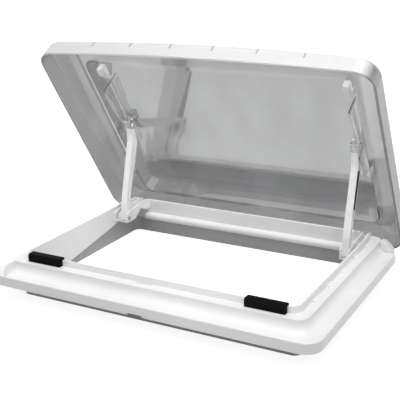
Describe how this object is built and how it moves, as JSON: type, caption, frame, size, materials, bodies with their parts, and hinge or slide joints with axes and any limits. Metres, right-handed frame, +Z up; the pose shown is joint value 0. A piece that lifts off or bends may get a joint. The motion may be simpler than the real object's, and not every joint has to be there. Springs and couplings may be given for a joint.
{
  "type": "roof window",
  "caption": "Hinged double-pane roof window for a caravan roof cut-out, a rectangular white frame with a clear domed flap held open on side arms.",
  "frame": {"origin": "centre of the roof cut-out, on the roof skin, which is also the centre of the roof fixing holes", "axes": "+Z up out of the roof, +Y towards the hinge, X along the hinge"},
  "size_m": [0.822, 0.6264, 0.5609],
  "materials": {
    "white_plastic": "satin",
    "grey_plastic": "matt",
    "tinted_pane": "polished, smoke-tinted acrylic",
    "inner_pane": "polished acrylic",
    "clear_plastic": "clear moulding",
    "catch_plastic": "clear moulding",
    "pad_rubber": "matt",
    "black_plastic": "matt",
    "pin_steel": "brushed",
    "hinge_metal": "satin",
    "screw_steel": "brushed"
  },
  "bodies": {
    "frame": {"base_frame": "white_plastic", "roof_collar": "grey_plastic", "cross_rail": "white_plastic", "bracket_left": "white_plastic", "foot_pin_left": "pin_steel", "pad_left": "pad_rubber", "corner_cap_left": "white_plastic", "hinge_foot_left": "hinge_metal", "hinge_rod_left": "pin_steel", "bracket_right": "white_plastic", "foot_pin_right": "pin_steel", "pad_right": "pad_rubber", "corner_cap_right": "white_plastic", "hinge_foot_right": "hinge_metal", "hinge_rod_right": "pin_steel", "bracket_screws": "screw_steel", "hinge_screws": "screw_steel"},
    "dome": {"outer_pane": "tinted_pane", "inner_pane": "inner_pane", "guide_left": "clear_plastic", "catch_block_left": "catch_plastic", "hinge_leaf_left": "hinge_metal", "guide_right": "clear_plastic", "catch_block_right": "catch_plastic", "hinge_leaf_right": "hinge_metal"},
    "arm_left": {"arm_left": "white_plastic", "arm_strip_left": "black_plastic", "arm_head_left": "clear_plastic", "top_pin_left": "pin_steel", "knob_left": "clear_plastic"},
    "arm_right": {"arm_right": "white_plastic", "arm_strip_right": "black_plastic", "arm_head_right": "clear_plastic", "top_pin_right": "pin_steel", "knob_right": "clear_plastic"}
  },
  "joints": [
    {"name": "dome_hinge", "type": "hinge", "parent": "frame", "child": "dome", "pos_m": [0, 0.2638, 0.02], "axis": [-1, 0, 0], "range_deg": [-57.3, 0]},
    {"name": "arm_left_pivot", "type": "hinge", "parent": "frame", "child": "arm_left", "pos_m": [-0.302, 0.132, 0.036], "axis": [-1, 0, 0], "range_deg": [-90.5, 0]},
    {"name": "arm_right_pivot", "type": "hinge", "parent": "frame", "child": "arm_right", "pos_m": [0.302, 0.132, 0.036], "axis": [-1, 0, 0], "range_deg": [-90.5, 0]}
  ],
  "couplings": [
    {"joint": "arm_left_pivot", "follows": "dome_hinge", "ratio": 1.5777},
    {"joint": "arm_right_pivot", "follows": "dome_hinge", "ratio": 1.5777}
  ]
}
